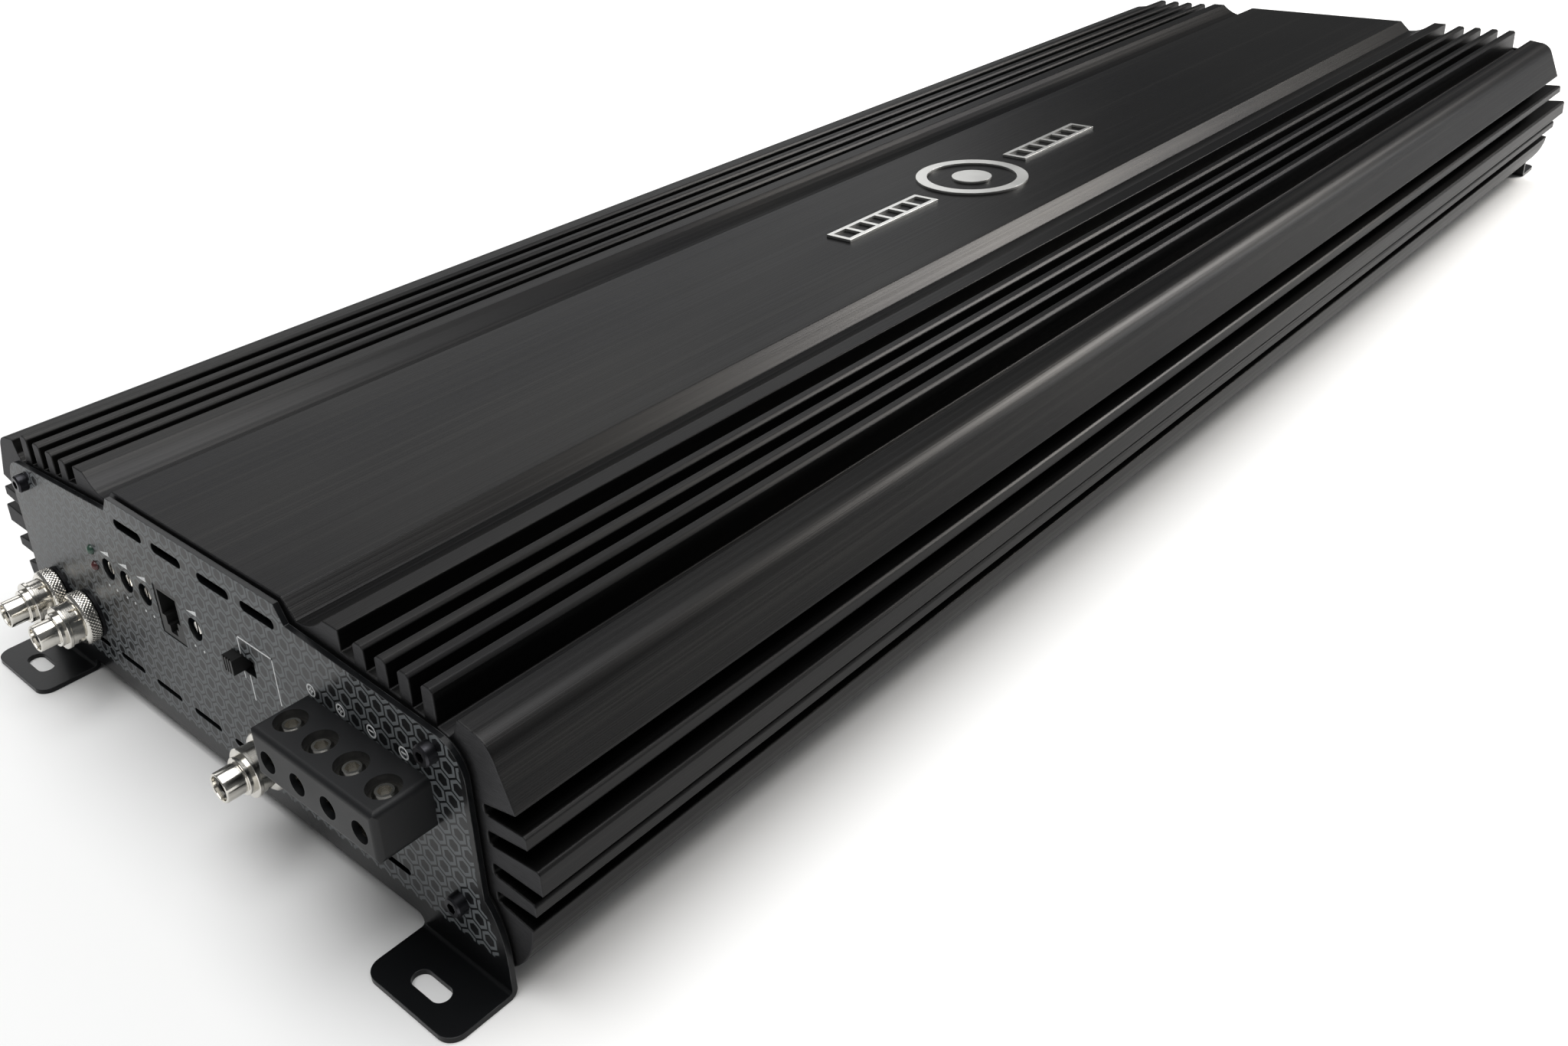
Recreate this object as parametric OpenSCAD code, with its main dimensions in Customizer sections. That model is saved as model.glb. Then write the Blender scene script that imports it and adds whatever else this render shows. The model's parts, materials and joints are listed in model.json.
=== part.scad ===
// Long finned car amplifier: extruded heatsink, two bent end plates with slotted feet,
// signal and speaker connections at the -Y end, power connections at the +Y end.
// Millimetres. X runs across, Y along the heatsink, Z up; Z = 0 is the mounting plane.

/* [Heatsink] */
// Length of the heatsink extrusion
chassis_len = 710; // [640:10:900]
// Height of the centre plateau above the mounting plane
plateau_h = 76; // [75.5:0.5:78]
// Half width of the flat plateau
plateau_hw = 41.4; // [40:0.2:42.4]
// Thickness of each top fin
fin_w = 3.8; // [3:0.2:4.4]
// Distance from one top fin to the next
fin_pitch = 8.25; // [8:0.05:8.4]

/* [End plates] */
// Sheet thickness of the end plates
sheet = 1.5; // [1.2:0.1:2]
// Thickness of the gasket behind each end plate
gasket_t = 0.8; // [0.5:0.1:1.2]
// How far each foot stands out from its plate
foot_len = 18; // [16:0.5:24]
// Width of each mounting foot
foot_w = 32; // [28:1:34]
// Overall length of each mounting slot
foot_slot_l = 12; // [9:0.5:16]
// Width of each mounting slot
foot_slot_w = 5.2; // [4.4:0.1:6.4]

/* [Speaker terminals] */
// Distance between speaker terminals
spk_pitch = 12; // [11.6:0.1:12.6]
// Diameter of each speaker wire hole
spk_wire_d = 5.9; // [5:0.1:6.1]

/* [Power terminals] */
// Distance between power terminals
pwr_pitch = 17; // [16.5:0.5:18]
// Diameter of each power wire hole
pwr_wire_d = 10.4; // [9:0.1:10.6]

/* [Signal jacks] */
// Distance between the two input jacks
rca_pitch = 20; // [18:0.5:21]
// Outside diameter of each jack barrel
rca_barrel_d = 8.3; // [8:0.1:8.6]
// Diameter of the knurled ring at each jack's base
rca_ring_d = 16.5; // [14:0.5:17]

/* [Controls] */
// Diameter of each level control shaft
pot_shaft_d = 4.2; // [3.6:0.2:4.6]
// Diameter of the panel hole round each control shaft
pot_hole_d = 6.8; // [6:0.1:7.4]
// Travel of the slide switch
switch_travel = 5; // [3:0.5:5]

/* [Hidden] */
$fn = 48;

eps = 0.01;
over = 2;                               // how far a cutter runs past a face
half_len = chassis_len / 2;
plate_back = half_len + gasket_t;       // distance of a plate's inner face from the middle
plate_face = plate_back + sheet;        // distance of a plate's outer face from the middle
run_gap = 0.05;                         // radial clearance of a turning or sliding fit
hole_gap = 0.4;                         // how much wider a clearance hole is than its screw
row_end = 0.46 * chassis_len;           // Y of the outermost cover screws and standoffs
row_mid = 0.16 * chassis_len;

// heatsink section
bevel_w = 4.9;
bevel_h = 4.6;
trough_w = 1.3;
ledge_in = 58.5;
ledge_out = 64.3;
ledge_rise = 0.5;
fin_count = 4;
fin_first = 69.9;
fin_edge = 0.8;
fin_draft = 0.15;
root_drop = 5.3;                        // channel depth beside the ledge
root_slope = 0.12;                      // how much the channels deepen towards the sides
shoulder_in = 106.1;
shoulder_drop = 4;
shoulder_r = 7;
shoulder_steps = 16;
shoulder_cx = 110.5;
shoulder_cz = 64.3;
shoulder_tip = [121.8, 55.1];
side_root = 110.9;                      // X of the side channels' inner ends
side_r = 1.2;
skirt_top = [122.2, 23.4];
skirt_ctrl = [121.3, 13.5];
skirt_foot = [112.7, 6.6];
cavity_hw = 104;
cavity_top = 61;
recess_hw = 41;
recess_top = 70.8;
boss_top = [98, 61.5];                  // X and Z of the two upper screw bosses
boss_left = [-102, 12];
boss_right = [100, 20];
boss_spots = [[-boss_top[0], boss_top[1]], boss_top, boss_left, boss_right];
boss_r = 5;
boss_low_r = 3.9;
boss_web = 2.9;                         // half height of the web that joins a lower boss to its wall
plate_screw_d = 3;
plate_screw_deep = 18;

// bottom cover
cover_t = 1.5;
cover_hw = 110.5;
cover_z = skirt_foot[1] - cover_t;
cover_screw_x = 108.2;
cover_screw_d = 3;
cover_screw_n = 5;
cover_screw_deep = 9;
cover_inset = 0.5;                      // how far the cover stops short of each end

// end plates
plate_top = plateau_h - 0.8;
plate_step_z = 70.3;
plate_step_hw = 44.4;
plate_corner_z = 66.9;
plate_hw = 109;
plate_corner_r = 9;
plate_foot_hw = 114.5;
plate_flare_z = 26;
plate_bottom = 4.6;
bend_r = 1;
foot_corner_r = 4.4;
foot_slot_y = plate_face + 10.5;
foot_cx = plate_foot_hw - foot_w / 2;
vent_top_z = 68.3;
vent_top_x = [-32, -11.6, 11.6, 32];
vent_top = [15, 3];
vent_low_z = 16.2;
vent_low_n = 8;
vent_low_pitch = 21;
vent_low = [14, 2];

neck_inset = 0.45;                      // how far a terminal's neck stands in, as a share of its edge radius
tail_out = 1.5;                         // how far a barrel's tail reaches behind its housing

// speaker terminals
spk_n = 4;
spk_cx = 72;
spk_w = 48;
spk_h = [39, 52.7];
spk_deep = 15.7;
spk_round = 1.6;
spk_wire_z = 45.3;
spk_barrel = [9.4, 9.6];
spk_barrel_z = 40.8;
spk_neck = 3.6;
spk_wall = 1.6;
spk_well_d = 8.4;
spk_well_y = plate_face + 8;
spk_screw_d = 5.9;
spk_screw_h = 3.4;
spk_screw_z = 48.3;
spk_socket = 3.5;
spk_tail_w = 6;

// power terminals
pwr_n = 4;
pwr_w = 72;
pwr_h = [22.5, 46.5];
pwr_deep = 24;
pwr_round = 2;
pwr_wire_z = 32.6;
pwr_barrel = [14.2, 17.4];
pwr_barrel_z = 25;
pwr_neck = 3.6;
pwr_wall = 2;
pwr_well_d = 11.4;
pwr_well_y = plate_face + 12.5;
pwr_screw_d = 9;
pwr_screw_h = 6.6;
pwr_screw_z = 37.9;
pwr_socket = 4.6;
pwr_tail_w = 10;

// turn-on terminal
turn_cx = 54;
turn_w = 12;
turn_h = [26, 38];
turn_deep = 11;
turn_round = 1;
turn_wire_d = 3;
turn_wire_z = 31.6;
turn_barrel = [6.4, 6.6];
turn_barrel_z = 29.2;
turn_well_d = 5.2;
turn_well_y = plate_face + 5.5;
turn_screw_d = 3.6;
turn_screw_h = 2.8;
turn_screw_z = 33.3;
turn_socket = 2;
turn_tail_w = 4;
turn_neck = 3.6;
turn_wall = 1.2;

// signal jacks, outwards from the plate
rca_z = 25.3;
rca_x = [-73 - rca_pitch, -73, 28.7];
rca_thread_d = 9;
rca_bore_d = 6.7;
rca_washer_t = 1;
rca_ring_t = 4.7;
rca_collar_t = 3.8;
rca_flange_t = 1.2;
rca_neck_t = 1.6;
rca_total = 18;
rca_hole_d = 12.2;
rca_collar_r = 6.5;
rca_flange_r = 6.9;
rca_neck_r = 5.25;
rca_thread_in = 4;                      // how far the thread reaches in behind the plate's face
rca_body = 12.6;
rca_pin_r = 1.9;                        // outside radius of the centre contact

// controls
pot_z = 48.5;
pot_x = [-52, -41.5, -31, -4.5];
pot_body = 9.4;
pot_body_deep = 7;
board_front = half_len - 12;            // front face of the control board
board_t = 1.6;
ctrl_x = [-68, 30];                     // ends and edges of the control board
ctrl_z = [35, 59.5];
led_x = -60.8;
led_z = [46.4, 51.8];
led_d = 3;
jack_x = -18.4;
jack_z = 47.1;
jack_w = 12.4;
jack_h = 15.4;
switch_x = 19.4;
switch_z = 48.5;
switch_knob = [4.8, 4.4];
switch_window = [switch_knob[0] + switch_travel + 0.6, 4.9];
snug = 0.15;                            // gap round a piece that fills its window

// boards and what stands on them
pcb_z = 14.4;
pcb_top = pcb_z + board_t;
pcb_hw = 90;
pcb_len = chassis_len - 3;
standoff_x = [-82, 0, 82];
standoff_y = [-row_end, -row_mid, row_mid, row_end];
supply_can = [11, 38];                  // radius and height
supply_y = 0.36 * chassis_len;
supply_pitch = 24;
rail_can = [12.5, 40];
rail_y = -0.08 * chassis_len;
rail_pitch = 28;
core_x = 34;
core_in = 13;                           // inner radius of a transformer's core
core_size = [11, 22];                   // thickness and height of its ring
core_lift = 4;
core_pitch = 64;
coil_x = 58;
coil_y = -0.3 * chassis_len - 26;
coil_pitch = 52;
bus_x = [4, 29];                        // X of each bus bar's sides
device_pitch = 22;
device_n = 12;
device_w = 15.6;
device_z = 28;
device_h = 20;
device_t = 4.8;
pad_t = 0.4;
bar_t = 3;
bar_z = [34, 44];
clamp_after = [1, 5, 9];                // a clamp screw stands after each of these devices
clamp_screw_d = 3;
clamp_screw_deep = 5;
clamp_z = (bar_z[0] + bar_z[1]) / 2;

black = "#1b1c1e";
steel_black = "#202224";
silver = "#c9c8c4";

function arc(c, r, a0, a1, n = 6) = [for (i = [0:n]) let (a = a0 + (a1 - a0) * i / n)
    [c[0] + r * cos(a), c[1] + r * sin(a)]];
function curve(a, b, c, n = 8) = [for (i = [0:n]) let (t = i / n)
    (1 - t) * (1 - t) * a + 2 * t * (1 - t) * b + t * t * c];
function root_z(x) = plateau_h - root_drop - root_slope * (x - ledge_out);
function fin(x) = [
    [x - fin_draft, root_z(x)], [x, plateau_h - fin_edge], [x + fin_edge, plateau_h],
    [x + fin_w - fin_edge, plateau_h], [x + fin_w, plateau_h - fin_edge],
    [x + fin_w + fin_draft, root_z(x + fin_w)]];
// a side channel's rounded inner end, from its upper wall to its lower wall
function side_gap(top, bottom) = concat(
    arc([side_root + side_r, top - side_r], side_r, 90, 180, 3),
    arc([side_root + side_r, bottom + side_r], side_r, 180, 270, 3));
function mirrored(half) = concat(half,
    [for (i = [len(half) - 1:-1:0]) [-half[i][0], half[i][1]]]);

heatsink_half = concat(
    [[plateau_hw, plateau_h], [plateau_hw + bevel_w, plateau_h - bevel_h]],
    curve([plateau_hw + bevel_w + trough_w, plateau_h - bevel_h],
        [plateau_hw + bevel_w + trough_w + 5.5, plateau_h - bevel_h + 0.3],
        [ledge_in, plateau_h + ledge_rise], 6),
    [[ledge_out, plateau_h + ledge_rise], [ledge_out, root_z(ledge_out)]],
    [for (i = [0:fin_count - 1]) each fin(fin_first + i * fin_pitch)],
    [[shoulder_in - 3.7, root_z(shoulder_in)], [shoulder_in - 1.7, root_z(shoulder_in) + 2.2],
        [shoulder_in, plateau_h - shoulder_drop]],
    arc([shoulder_cx, shoulder_cz], shoulder_r, 90, 22, shoulder_steps),
    [shoulder_tip],
    side_gap(53, 49.8),
    [[123.4, 50.5], [124.1, 50], [124.3, 47.3]],
    side_gap(45.6, 41.6),
    [[126.6, 42.9], [127.3, 42.2], [127.4, 36.6]],
    side_gap(36.5, 32.8),
    [[123.8, 32], [124.3, 31.4], [124.2, 28.8]],
    side_gap(28.4, 25),
    curve(skirt_top, skirt_ctrl, skirt_foot, 6),
    [[cavity_hw, skirt_foot[1]], [cavity_hw, cavity_top], [recess_hw, cavity_top],
        [recess_hw, recess_top]]);

// half outline of an end plate above its feet, drawn in by d all round
function plate_half(d) = concat(
    [[plateau_hw - 0.2 - d, plate_top - d], [plate_step_hw - d, plate_step_z - d]],
    arc([plate_hw - plate_corner_r, plate_corner_z - plate_corner_r], plate_corner_r - d, 87, 0, 8),
    curve([plate_hw - d, plate_flare_z], [plate_foot_hw - d, plate_flare_z - 6],
        [plate_foot_hw - d, plate_flare_z - 17], 6));

module along_y(y0, y1) {
    translate([0, y1, 0])
        rotate([90, 0, 0])
            linear_extrude(y1 - y0) children();
}

// a cylinder along Y from y0 to y1
module rod_y(x, z, d, y0, y1, n = 48) {
    translate([x, y1, z])
        rotate([90, 0, 0])
            cylinder(d = d, h = y1 - y0, $fn = n);
}

// a round-ended slot cut through a plate, long side along X
module slot_y(x, z, size, y0, y1) {
    reach = (size[0] - size[1]) / 2;
    for (s = [-1, 1])
        rod_y(x + s * reach, z, size[1], y0, y1, 24);
    translate([x - reach, y0, z - size[1] / 2])
        cube([2 * reach, y1 - y0, size[1]]);
}

// a box from its low corner to its high corner
module block(low, high) {
    translate(low)
        cube(high - low);
}

// a bar along Y with its four long edges rounded
module soft_bar(low, high, r) {
    block(low + [r, 0, 0], high - [r, 0, 0]);
    block(low + [0, 0, r], high - [0, 0, r]);
    for (x = [low[0] + r, high[0] - r])
        for (z = [low[2] + r, high[2] - r])
            rod_y(x, z, 2 * r, low[1], high[1], 32);
}

// a terminal housing: every edge round but those on the plate, whose side is the high Y
module soft_block(low, high, r) {
    intersection() {
        soft_bar(low, high, r);
        union() {
            block(low + [0, r, 0], high);
            block(low + [0, 0, r], [high[0], low[1] + r + eps, high[2] - r]);
            for (z = [low[2] + r, high[2] - r])
                translate([low[0], low[1] + r, z])
                    rotate([0, 90, 0])
                        cylinder(r = r, h = high[0] - low[0], $fn = 32);
        }
        union() {
            block(low + [0, r, 0], high);
            block(low + [r, 0, 0], [high[0] - r, low[1] + r + eps, high[2]]);
            for (x = [low[0] + r, high[0] - r])
                translate([x, low[1] + r, low[2]])
                    cylinder(r = r, h = high[2] - low[2], $fn = 32);
        }
    }
}

module heatsink() color(black) {
    difference() {
        union() {
            along_y(-half_len, half_len) polygon(mirrored(heatsink_half));
            for (x = [-boss_top[0], boss_top[0]])
                rod_y(x, boss_top[1], 2 * boss_r, -half_len, half_len, 32);
            low_boss(boss_right);
            mirror([1, 0, 0])
                low_boss([-boss_left[0], boss_left[1]]);
        }
        for (p = boss_spots)
            for (s = [-1, 1])
                rod_y(p[0], p[1], plate_screw_d + 2 * run_gap, min(s * (half_len - plate_screw_deep),
                    s * (half_len + over)), max(s * (half_len - plate_screw_deep), s * (half_len + over)));
        for (p = cover_screw_spots())
            translate([p[0], p[1], skirt_foot[1] - over])
                cylinder(d = cover_screw_d + 2 * run_gap, h = cover_screw_deep + over);
        for (p = clamp_spots())
            translate([p[0] > 0 ? cavity_hw - over : -cavity_hw + over, p[1], clamp_z])
                rotate([0, p[0] > 0 ? 90 : -90, 0])
                    cylinder(d = clamp_screw_d + 2 * run_gap, h = clamp_screw_deep + over);
    }
}

// a lower screw boss on the +X wall, joined to it by a web
module low_boss(p) {
    rod_y(p[0], p[1], 2 * boss_low_r, -half_len, half_len, 32);
    block([p[0], -half_len, p[1] - boss_web], [cavity_hw + 1, half_len, p[1] + boss_web]);
}

// a plain round ring with a boss in it, and a slim ladder of bars on either side, in line
module badge() color(silver) {
    badge_y = 354 - half_len;
    badge_t = 1;
    ring_r = 22.5;
    ring_w = 4.5;
    hub_r = 8;
    rail_x = 4.6;
    rail_w = 1.8;
    strip = [32, 88];                   // start and end of each ladder, from the ring's middle
    rungs = 7;
    translate([0, badge_y, plateau_h]) {
        difference() {
            cylinder(r = ring_r, h = badge_t, $fn = 96);
            translate([0, 0, -over])
                cylinder(r = ring_r - ring_w, h = badge_t + 2 * over, $fn = 96);
        }
        cylinder(r = hub_r, h = badge_t);
        for (s = [0, 180])
            rotate([0, 0, s]) {
                for (x = [-rail_x, rail_x])
                    block([x - rail_w / 2, strip[0], 0], [x + rail_w / 2, strip[1], badge_t]);
                for (i = [0:rungs - 1]) {
                    y = strip[0] + i * (strip[1] - strip[0] - rail_w) / (rungs - 1);
                    block([-rail_x, y, 0], [rail_x, y + rail_w, badge_t]);
                }
            }
    }
}

function cover_screw_spots() = [for (s = [-1, 1]) for (i = [0:cover_screw_n - 1])
    [s * cover_screw_x, -row_end + i * 2 * row_end / (cover_screw_n - 1)]];

module bottom_cover() color(steel_black)
    difference() {
        block([-cover_hw, -half_len + cover_inset, cover_z],
            [cover_hw, half_len - cover_inset, cover_z + cover_t]);
        for (p = cover_screw_spots())
            translate([p[0], p[1], cover_z - over])
                cylinder(d = cover_screw_d + hole_gap, h = cover_t + 2 * over);
    }

module bottom_cover_screws() color(black) {
    head_h = 1.8;
    head_r = [2.1, 2.8];
    socket_r = 1.3;
    socket_deep = 1.1;
    for (p = cover_screw_spots())
        translate([p[0], p[1], 0])
            difference() {
                union() {
                    translate([0, 0, cover_z - head_h])
                        cylinder(r1 = head_r[0], r2 = head_r[1], h = head_h);
                    translate([0, 0, cover_z - eps])
                        cylinder(d = cover_screw_d, h = cover_t + cover_screw_deep - 1);
                }
                translate([0, 0, cover_z - head_h - over])
                    cylinder(r = socket_r, h = over + socket_deep, $fn = 6);
            }
}

// sheet and feet of the -Y end plate, before its own cut-outs
module plate_blank() {
    turn = bend_r + sheet;
    difference() {
        along_y(-plate_face, -plate_back)
            polygon(mirrored(concat(plate_half(0), [[plate_foot_hw, plate_bottom], [0, plate_bottom]])));
        for (p = boss_spots)
            rod_y(p[0], p[1], plate_screw_d + 0.5, -plate_face - over, -plate_back + over);
    }
    for (s = [-1, 1])
        translate([s * foot_cx, 0, 0]) {
            block([-foot_w / 2, -plate_face, turn], [foot_w / 2, -plate_back, plate_bottom + eps]);
            leg_corner(s);
            difference() {
                intersection() {
                    translate([-foot_w / 2, -plate_back - turn, turn])
                        rotate([0, 90, 0])
                            cylinder(r = turn, h = foot_w);
                    block([-foot_w / 2, -plate_back - turn, 0], [foot_w / 2, -plate_back, turn]);
                }
                translate([-foot_w / 2 - over, -plate_back - turn, turn])
                    rotate([0, 90, 0])
                        cylinder(r = bend_r, h = foot_w + 2 * over);
            }
            foot_sheet(-plate_back - turn);
        }
}

// the flat of one foot, from the bend outwards, with round outer corners and a slot
module foot_sheet(y_in) {
    y_out = -plate_face - foot_len;
    reach = (foot_slot_l - foot_slot_w) / 2;
    difference() {
        union() {
            block([-foot_w / 2, y_out + foot_corner_r, 0], [foot_w / 2, y_in + eps, sheet]);
            block([-foot_w / 2 + foot_corner_r, y_out, 0],
                [foot_w / 2 - foot_corner_r, y_out + foot_corner_r + eps, sheet]);
            for (x = [-foot_w / 2 + foot_corner_r, foot_w / 2 - foot_corner_r])
                translate([x, y_out + foot_corner_r, 0])
                    cylinder(r = foot_corner_r, h = sheet);
        }
        for (x = [-reach, reach])
            translate([x, -foot_slot_y, -over])
                cylinder(d = foot_slot_w, h = sheet + 2 * over);
        block([-reach, -foot_slot_y - foot_slot_w / 2, -over],
            [reach, -foot_slot_y + foot_slot_w / 2, sheet + over]);
    }
}

// small fillet where a foot's leg meets the plate's bottom edge
module leg_corner(s) {
    x = -s * (foot_w / 2);
    turn = bend_r + sheet;
    r = plate_bottom - turn;
    difference() {
        block([min(x, x - s * r), -plate_face, turn], [max(x, x - s * r), -plate_back, plate_bottom + eps]);
        rod_y(x - s * r, turn, 2 * r, -plate_face - over, -plate_back + over, 24);
    }
}

module vent_cuts() {
    for (x = vent_top_x)
        slot_y(x, vent_top_z, vent_top, -plate_face - over, -plate_back + over);
    for (i = [0:vent_low_n - 1])
        slot_y((i - (vent_low_n - 1) / 2) * vent_low_pitch, vent_low_z, vent_low,
            -plate_face - over, -plate_back + over);
}

// the window in the -Y plate for the back of a terminal housing
module terminal_window(cx, w, h, round_r) {
    half = w / 2 - neck_inset * round_r + 0.2;
    block([cx - half, -plate_face - over, h[0] + 0.8], [cx + half, -plate_back + over, h[1] - 0.8]);
}

module input_end_plate() color(steel_black) {
    y0 = -plate_face - over;
    y1 = -plate_back + over;
    difference() {
        plate_blank();
        vent_cuts();
        for (x = rca_x)
            rod_y(x, rca_z, rca_hole_d, y0, y1);
        for (x = pot_x)
            rod_y(x, pot_z, pot_hole_d, y0, y1);
        for (z = led_z)
            rod_y(led_x, z, led_d + 0.2, y0, y1);
        block([jack_x - jack_w / 2 - snug, y0, jack_z - jack_h / 2 - snug],
            [jack_x + jack_w / 2 + snug, y1, jack_z + jack_h / 2 + snug]);
        block([switch_x - switch_window[0] / 2, y0, switch_z - switch_window[1] / 2],
            [switch_x + switch_window[0] / 2, y1, switch_z + switch_window[1] / 2]);
        terminal_window(spk_cx, spk_w, spk_h, spk_round);
    }
}

module power_end_plate() color(steel_black)
    mirror([0, 1, 0])
        difference() {
            plate_blank();
            vent_cuts();
            terminal_window(0, pwr_w, pwr_h, pwr_round);
            terminal_window(turn_cx, turn_w, turn_h, turn_round);
        }

module end_gasket() {
    inset = 1.2;
    difference() {
        along_y(-plate_back, -half_len)
            polygon(mirrored(concat(plate_half(inset), [[plate_foot_hw - inset, 8], [0, 8]])));
        block([-recess_hw, -plate_back - over, 12], [recess_hw, -half_len + over, recess_top]);
        block([-boss_top[0] + 5, -plate_back - over, 12], [boss_top[0] - 5, -half_len + over, cavity_top]);
        block([-cavity_hw + 4, -plate_back - over, 25], [cavity_hw - 4, -half_len + over, 56]);
        block([-cavity_hw + 4, -plate_back - over, pcb_top - 0.4], [0, -half_len + over, 26]);
        for (p = boss_spots)
            rod_y(p[0], p[1], plate_screw_d + 0.6, -plate_back - over, -half_len + over);
    }
}

module input_end_gasket() color("#101112") end_gasket();

module power_end_gasket() color("#101112")
    mirror([0, 1, 0]) end_gasket();

// socket-head screws of the -Y end plate
module end_screws() {
    head_d = 5.5;
    head_h = 3;
    head_edge = 0.5;
    socket_d = 2.9;
    socket_deep = 1.8;
    reach = sheet + gasket_t + plate_screw_deep - 2;
    for (p = boss_spots)
        translate([p[0], -plate_face, p[1]])
            rotate([90, 0, 0])
                difference() {
                    union() {
                        cylinder(d = head_d, h = head_h - head_edge);
                        translate([0, 0, head_h - head_edge])
                            cylinder(d1 = head_d, d2 = head_d - 0.8, h = head_edge);
                        translate([0, 0, -reach])
                            cylinder(d = plate_screw_d, h = reach + eps);
                    }
                    translate([0, 0, head_h - socket_deep])
                        cylinder(d = socket_d, h = socket_deep + over, $fn = 6);
                }
}

module input_end_screws() color("#26282a") end_screws();

module power_end_screws() color("#26282a")
    mirror([0, 1, 0]) end_screws();

function terminal_x(cx, n, pitch, i) = cx + (i - (n - 1) / 2) * pitch;

// housing of a row of screw terminals on the -Y face: wells above, wire holes in front,
// and a pocket open at the back for each metal barrel
module terminal_housing(cx, n, pitch, w, h, deep, round_r, neck, wall, wire_d, wire_z, well_d, well_y,
        barrel, barrel_z) {
    front = -plate_face - deep;
    back = -plate_face + neck;
    inset = neck_inset * round_r;
    difference() {
        union() {
            soft_block([cx - w / 2, front, h[0]], [cx + w / 2, -plate_face, h[1]], round_r);
            block([cx - w / 2 + inset, -plate_face - eps, h[0] + 1.2],
                [cx + w / 2 - inset, back, h[1] - 1.2]);
        }
        for (i = [0:n - 1]) {
            x = terminal_x(cx, n, pitch, i);
            block([x - barrel[0] / 2, front + wall, barrel_z],
                [x + barrel[0] / 2, back + over, barrel_z + barrel[1]]);
            rod_y(x, wire_z, wire_d, front - over, front + wall + over);
            translate([x, -well_y, barrel_z + barrel[1] - 1])
                cylinder(d = well_d, h = h[1] - barrel_z - barrel[1] + 1 + over);
        }
    }
}

// the metal barrels of the same row, each with its wire hole, screw hole and tail
module terminal_barrels(cx, n, pitch, deep, neck, wall, wire_d, wire_z, well_y, barrel, barrel_z,
        screw_d, tail_w) {
    front = -plate_face - deep + wall;
    back = -plate_face + neck;
    for (i = [0:n - 1])
        translate([terminal_x(cx, n, pitch, i), 0, 0])
            difference() {
                union() {
                    block([-barrel[0] / 2, front, barrel_z], [barrel[0] / 2, back, barrel_z + barrel[1]]);
                    block([-tail_w / 2, back - eps, pcb_top],
                        [tail_w / 2, back + tail_out, barrel_z + barrel[1] - 2]);
                }
                rod_y(0, wire_z, wire_d, front - over, back - 3);
                translate([0, -well_y, wire_z])
                    cylinder(d = screw_d + 2 * run_gap, h = barrel[1] + over);
            }
}

// a set screw standing on its end, with a hexagon socket
module set_screw(d, h, socket) {
    edge = 0.12 * d;
    difference() {
        union() {
            cylinder(d1 = d - 2 * edge, d2 = d, h = edge);
            translate([0, 0, edge])
                cylinder(d = d, h = h - 2 * edge);
            translate([0, 0, h - edge])
                cylinder(d1 = d, d2 = d - 2 * edge, h = edge);
        }
        translate([0, 0, 0.4 * h])
            cylinder(d = socket, h = h, $fn = 6);
    }
}

module speaker_block() color(black)
    terminal_housing(spk_cx, spk_n, spk_pitch, spk_w, spk_h, spk_deep, spk_round, spk_neck, spk_wall,
        spk_wire_d, spk_wire_z, spk_well_d, spk_well_y, spk_barrel, spk_barrel_z);

module speaker_barrels() color(silver)
    terminal_barrels(spk_cx, spk_n, spk_pitch, spk_deep, spk_neck, spk_wall, spk_wire_d, spk_wire_z,
        spk_well_y, spk_barrel, spk_barrel_z, spk_screw_d, spk_tail_w);

module speaker_screw(i) color(silver)
    translate([terminal_x(spk_cx, spk_n, spk_pitch, i), -spk_well_y, spk_screw_z])
        set_screw(spk_screw_d, spk_screw_h, spk_socket);

module power_block() color(black)
    mirror([0, 1, 0])
        terminal_housing(0, pwr_n, pwr_pitch, pwr_w, pwr_h, pwr_deep, pwr_round, pwr_neck, pwr_wall,
            pwr_wire_d, pwr_wire_z, pwr_well_d, pwr_well_y, pwr_barrel, pwr_barrel_z);

module power_barrels() color(silver)
    mirror([0, 1, 0])
        terminal_barrels(0, pwr_n, pwr_pitch, pwr_deep, pwr_neck, pwr_wall, pwr_wire_d, pwr_wire_z,
            pwr_well_y, pwr_barrel, pwr_barrel_z, pwr_screw_d, pwr_tail_w);

module power_screw(i) color(silver)
    translate([terminal_x(0, pwr_n, pwr_pitch, i), pwr_well_y, pwr_screw_z])
        set_screw(pwr_screw_d, pwr_screw_h, pwr_socket);

module turn_on_block() color(black)
    mirror([0, 1, 0])
        terminal_housing(turn_cx, 1, 1, turn_w, turn_h, turn_deep, turn_round, turn_neck, turn_wall,
            turn_wire_d, turn_wire_z, turn_well_d, turn_well_y, turn_barrel, turn_barrel_z);

module turn_on_barrel() color(silver)
    mirror([0, 1, 0])
        terminal_barrels(turn_cx, 1, 1, turn_deep, turn_neck, turn_wall, turn_wire_d, turn_wire_z,
            turn_well_y, turn_barrel, turn_barrel_z, turn_screw_d, turn_tail_w);

module turn_on_screw() color(silver)
    translate([turn_cx, turn_well_y, turn_screw_z])
        set_screw(turn_screw_d, turn_screw_h, turn_socket);

// turns a profile about the axis of each signal jack; its Y is the distance in front of the plate
module at_jacks() {
    for (x = rca_x)
        translate([x, -plate_face, rca_z])
            rotate([90, 0, 0])
                children();
}

module rca_bodies() color(black)
    for (x = rca_x)
        difference() {
            union() {
                block([x - rca_body / 2, -plate_back + 0.3, pcb_top],
                    [x + rca_body / 2, -half_len + 11.6, rca_z + 7]);
                rod_y(x, rca_z, rca_hole_d - hole_gap, -plate_face, -plate_back + 0.4);
            }
            rod_y(x, rca_z, rca_thread_d, -plate_face - over, -half_len + 6);
        }

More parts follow.
